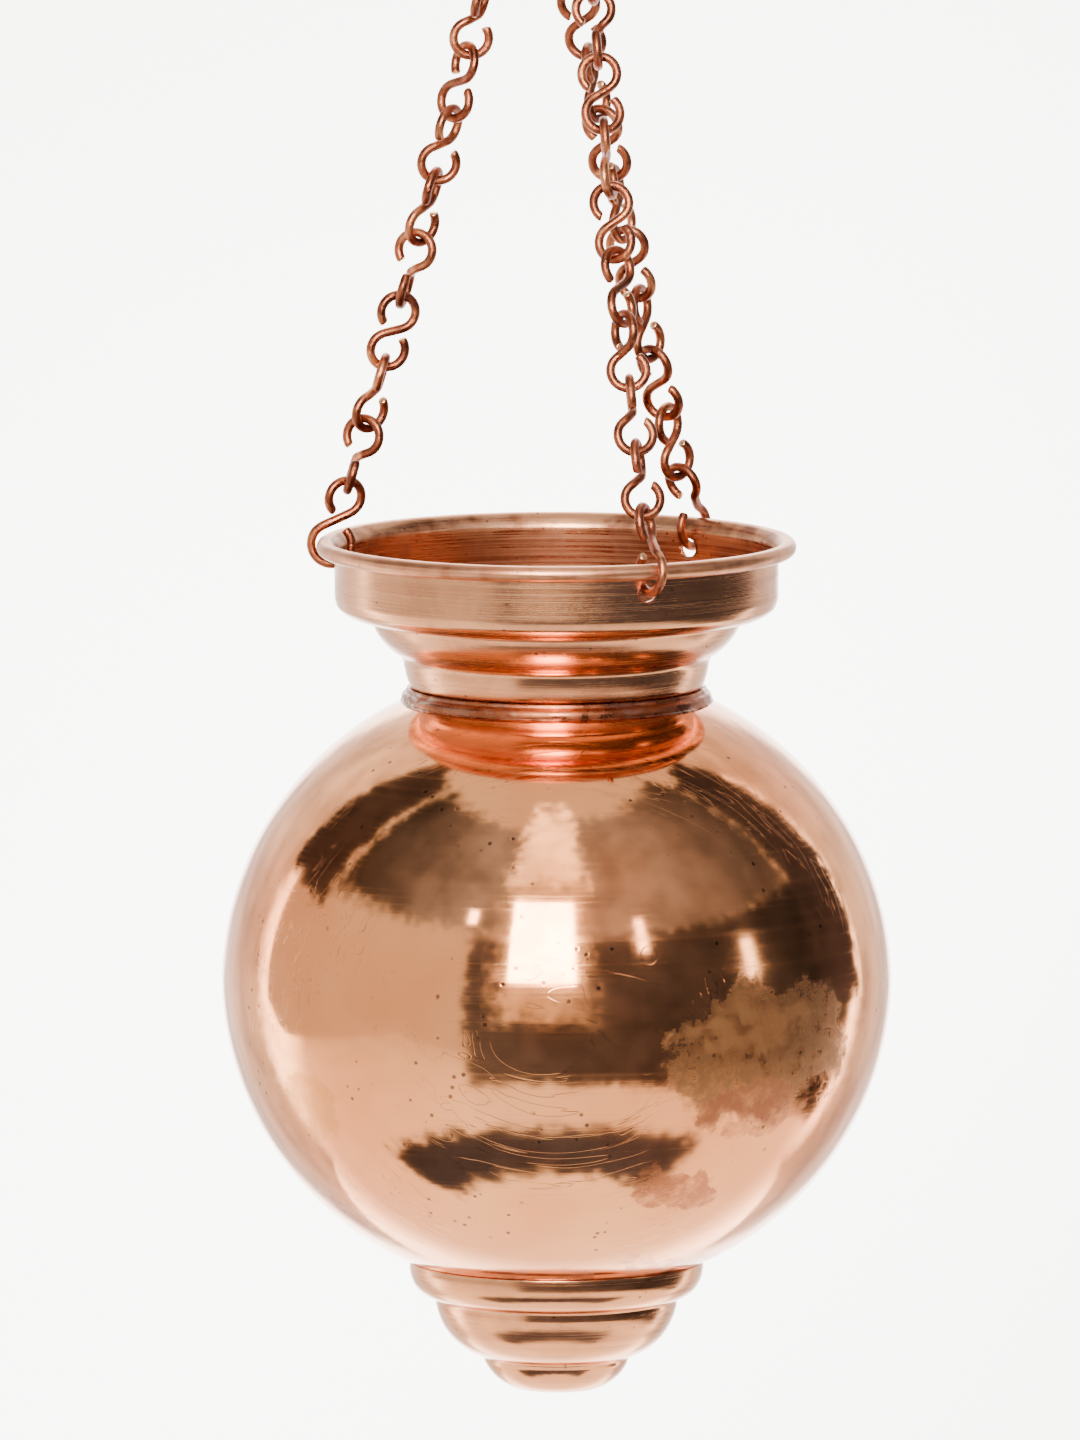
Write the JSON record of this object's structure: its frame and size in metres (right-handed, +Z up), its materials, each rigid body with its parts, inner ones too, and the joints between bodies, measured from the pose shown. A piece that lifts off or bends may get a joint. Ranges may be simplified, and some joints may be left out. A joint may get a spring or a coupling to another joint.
{
  "type": "hanging drip pot",
  "caption": "Round copper drip pot with a stepped, flared mouth and a stepped foot, hung by three chains of hand-bent S links from a ring and a hook.",
  "frame": {"origin": "where the hook rests on its support: the inside of the crown of the hook's upper bend", "axes": "+Z up along the pot's axis; -Y faces the viewer, with the front chain; +X to the right"},
  "size_m": [0.165, 0.165, 0.454],
  "materials": {
    "polished_copper": "mirror polish with tarnish",
    "brushed_copper": "brushed",
    "soldered_neck": "filed solder over copper",
    "chain_copper": "dull hand-bent wire"
  },
  "bodies": {
    "hanger": {"hook": "chain_copper"},
    "ring": {"gathering_ring": "chain_copper"},
    "chain_tops": {"left_link_1": "chain_copper", "back_link_1": "chain_copper", "front_link_1": "chain_copper"},
    "pot": {"globe": "polished_copper", "neck_collar": "soldered_neck", "mouth": "brushed_copper", "foot": "brushed_copper"},
    "left_2": {"left_link_2": "chain_copper"},
    "left_3": {"left_link_3": "chain_copper"},
    "left_4": {"left_link_4": "chain_copper"},
    "left_5": {"left_link_5": "chain_copper"},
    "left_6": {"left_link_6": "chain_copper"},
    "left_7": {"left_link_7": "chain_copper"},
    "left_8": {"left_link_8": "chain_copper"},
    "left_9": {"left_link_9": "chain_copper"},
    "left_10": {"left_link_10": "chain_copper"},
    "left_11": {"left_link_11": "chain_copper"},
    "left_12": {"left_link_12": "chain_copper"},
    "back_2": {"back_link_2": "chain_copper"},
    "back_3": {"back_link_3": "chain_copper"},
    "back_4": {"back_link_4": "chain_copper"},
    "back_5": {"back_link_5": "chain_copper"},
    "back_6": {"back_link_6": "chain_copper"},
    "back_7": {"back_link_7": "chain_copper"},
    "back_8": {"back_link_8": "chain_copper"},
    "back_9": {"back_link_9": "chain_copper"},
    "back_10": {"back_link_10": "chain_copper"},
    "back_11": {"back_link_11": "chain_copper"},
    "back_12": {"back_link_12": "chain_copper"},
    "front_2": {"front_link_2": "chain_copper"},
    "front_3": {"front_link_3": "chain_copper"},
    "front_4": {"front_link_4": "chain_copper"},
    "front_5": {"front_link_5": "chain_copper"},
    "front_6": {"front_link_6": "chain_copper"},
    "front_7": {"front_link_7": "chain_copper"},
    "front_8": {"front_link_8": "chain_copper"},
    "front_9": {"front_link_9": "chain_copper"},
    "front_10": {"front_link_10": "chain_copper"},
    "front_11": {"front_link_11": "chain_copper"},
    "front_12": {"front_link_12": "chain_copper"}
  },
  "joints": [
    {"name": "ring_swing", "type": "hinge", "parent": "hanger", "child": "ring", "pos_m": [0, 0, -0.03225], "axis": [0, 1, 0], "range_deg": [-30, 30]},
    {"name": "pot_swing", "type": "hinge", "parent": "ring", "child": "chain_tops", "pos_m": [0, 0, -0.05985], "axis": [1, 0, 0], "range_deg": [-25, 25]},
    {"name": "pot_lift", "type": "slide", "parent": "chain_tops", "child": "pot", "axis": [0, 0, 1], "range_m": [0, 0.02]},
    {"name": "left_2_rise", "type": "slide", "parent": "chain_tops", "child": "left_2", "axis": [0, 0, 1], "range_m": [0, 0.0018]},
    {"name": "left_3_rise", "type": "slide", "parent": "chain_tops", "child": "left_3", "axis": [0, 0, 1], "range_m": [0, 0.0036]},
    {"name": "left_4_rise", "type": "slide", "parent": "chain_tops", "child": "left_4", "axis": [0, 0, 1], "range_m": [0, 0.0054]},
    {"name": "left_5_rise", "type": "slide", "parent": "chain_tops", "child": "left_5", "axis": [0, 0, 1], "range_m": [0, 0.0072]},
    {"name": "left_6_rise", "type": "slide", "parent": "chain_tops", "child": "left_6", "axis": [0, 0, 1], "range_m": [0, 0.009]},
    {"name": "left_7_rise", "type": "slide", "parent": "chain_tops", "child": "left_7", "axis": [0, 0, 1], "range_m": [0, 0.0108]},
    {"name": "left_8_rise", "type": "slide", "parent": "chain_tops", "child": "left_8", "axis": [0, 0, 1], "range_m": [0, 0.0126]},
    {"name": "left_9_rise", "type": "slide", "parent": "chain_tops", "child": "left_9", "axis": [0, 0, 1], "range_m": [0, 0.0144]},
    {"name": "left_10_rise", "type": "slide", "parent": "chain_tops", "child": "left_10", "axis": [0, 0, 1], "range_m": [0, 0.0162]},
    {"name": "left_11_rise", "type": "slide", "parent": "chain_tops", "child": "left_11", "axis": [0, 0, 1], "range_m": [0, 0.018]},
    {"name": "left_12_rise", "type": "slide", "parent": "chain_tops", "child": "left_12", "axis": [0, 0, 1], "range_m": [0, 0.0198]},
    {"name": "back_2_rise", "type": "slide", "parent": "chain_tops", "child": "back_2", "axis": [0, 0, 1], "range_m": [0, 0.0018]},
    {"name": "back_3_rise", "type": "slide", "parent": "chain_tops", "child": "back_3", "axis": [0, 0, 1], "range_m": [0, 0.0036]},
    {"name": "back_4_rise", "type": "slide", "parent": "chain_tops", "child": "back_4", "axis": [0, 0, 1], "range_m": [0, 0.0054]},
    {"name": "back_5_rise", "type": "slide", "parent": "chain_tops", "child": "back_5", "axis": [0, 0, 1], "range_m": [0, 0.0072]},
    {"name": "back_6_rise", "type": "slide", "parent": "chain_tops", "child": "back_6", "axis": [0, 0, 1], "range_m": [0, 0.009]},
    {"name": "back_7_rise", "type": "slide", "parent": "chain_tops", "child": "back_7", "axis": [0, 0, 1], "range_m": [0, 0.0108]},
    {"name": "back_8_rise", "type": "slide", "parent": "chain_tops", "child": "back_8", "axis": [0, 0, 1], "range_m": [0, 0.0126]},
    {"name": "back_9_rise", "type": "slide", "parent": "chain_tops", "child": "back_9", "axis": [0, 0, 1], "range_m": [0, 0.0144]},
    {"name": "back_10_rise", "type": "slide", "parent": "chain_tops", "child": "back_10", "axis": [0, 0, 1], "range_m": [0, 0.0162]},
    {"name": "back_11_rise", "type": "slide", "parent": "chain_tops", "child": "back_11", "axis": [0, 0, 1], "range_m": [0, 0.018]},
    {"name": "back_12_rise", "type": "slide", "parent": "chain_tops", "child": "back_12", "axis": [0, 0, 1], "range_m": [0, 0.0198]},
    {"name": "front_2_rise", "type": "slide", "parent": "chain_tops", "child": "front_2", "axis": [0, 0, 1], "range_m": [0, 0.0018]},
    {"name": "front_3_rise", "type": "slide", "parent": "chain_tops", "child": "front_3", "axis": [0, 0, 1], "range_m": [0, 0.0036]},
    {"name": "front_4_rise", "type": "slide", "parent": "chain_tops", "child": "front_4", "axis": [0, 0, 1], "range_m": [0, 0.0054]},
    {"name": "front_5_rise", "type": "slide", "parent": "chain_tops", "child": "front_5", "axis": [0, 0, 1], "range_m": [0, 0.0072]},
    {"name": "front_6_rise", "type": "slide", "parent": "chain_tops", "child": "front_6", "axis": [0, 0, 1], "range_m": [0, 0.009]},
    {"name": "front_7_rise", "type": "slide", "parent": "chain_tops", "child": "front_7", "axis": [0, 0, 1], "range_m": [0, 0.0108]},
    {"name": "front_8_rise", "type": "slide", "parent": "chain_tops", "child": "front_8", "axis": [0, 0, 1], "range_m": [0, 0.0126]},
    {"name": "front_9_rise", "type": "slide", "parent": "chain_tops", "child": "front_9", "axis": [0, 0, 1], "range_m": [0, 0.0144]},
    {"name": "front_10_rise", "type": "slide", "parent": "chain_tops", "child": "front_10", "axis": [0, 0, 1], "range_m": [0, 0.0162]},
    {"name": "front_11_rise", "type": "slide", "parent": "chain_tops", "child": "front_11", "axis": [0, 0, 1], "range_m": [0, 0.018]},
    {"name": "front_12_rise", "type": "slide", "parent": "chain_tops", "child": "front_12", "axis": [0, 0, 1], "range_m": [0, 0.0198]}
  ],
  "couplings": [
    {"joint": "left_2_rise", "follows": "pot_lift", "ratio": 0.09},
    {"joint": "left_3_rise", "follows": "pot_lift", "ratio": 0.18},
    {"joint": "left_4_rise", "follows": "pot_lift", "ratio": 0.27},
    {"joint": "left_5_rise", "follows": "pot_lift", "ratio": 0.36},
    {"joint": "left_6_rise", "follows": "pot_lift", "ratio": 0.45},
    {"joint": "left_7_rise", "follows": "pot_lift", "ratio": 0.54},
    {"joint": "left_8_rise", "follows": "pot_lift", "ratio": 0.63},
    {"joint": "left_9_rise", "follows": "pot_lift", "ratio": 0.72},
    {"joint": "left_10_rise", "follows": "pot_lift", "ratio": 0.81},
    {"joint": "left_11_rise", "follows": "pot_lift", "ratio": 0.9},
    {"joint": "left_12_rise", "follows": "pot_lift", "ratio": 0.99},
    {"joint": "back_2_rise", "follows": "pot_lift", "ratio": 0.09},
    {"joint": "back_3_rise", "follows": "pot_lift", "ratio": 0.18},
    {"joint": "back_4_rise", "follows": "pot_lift", "ratio": 0.27},
    {"joint": "back_5_rise", "follows": "pot_lift", "ratio": 0.36},
    {"joint": "back_6_rise", "follows": "pot_lift", "ratio": 0.45},
    {"joint": "back_7_rise", "follows": "pot_lift", "ratio": 0.54},
    {"joint": "back_8_rise", "follows": "pot_lift", "ratio": 0.63},
    {"joint": "back_9_rise", "follows": "pot_lift", "ratio": 0.72},
    {"joint": "back_10_rise", "follows": "pot_lift", "ratio": 0.81},
    {"joint": "back_11_rise", "follows": "pot_lift", "ratio": 0.9},
    {"joint": "back_12_rise", "follows": "pot_lift", "ratio": 0.99},
    {"joint": "front_2_rise", "follows": "pot_lift", "ratio": 0.09},
    {"joint": "front_3_rise", "follows": "pot_lift", "ratio": 0.18},
    {"joint": "front_4_rise", "follows": "pot_lift", "ratio": 0.27},
    {"joint": "front_5_rise", "follows": "pot_lift", "ratio": 0.36},
    {"joint": "front_6_rise", "follows": "pot_lift", "ratio": 0.45},
    {"joint": "front_7_rise", "follows": "pot_lift", "ratio": 0.54},
    {"joint": "front_8_rise", "follows": "pot_lift", "ratio": 0.63},
    {"joint": "front_9_rise", "follows": "pot_lift", "ratio": 0.72},
    {"joint": "front_10_rise", "follows": "pot_lift", "ratio": 0.81},
    {"joint": "front_11_rise", "follows": "pot_lift", "ratio": 0.9},
    {"joint": "front_12_rise", "follows": "pot_lift", "ratio": 0.99}
  ]
}
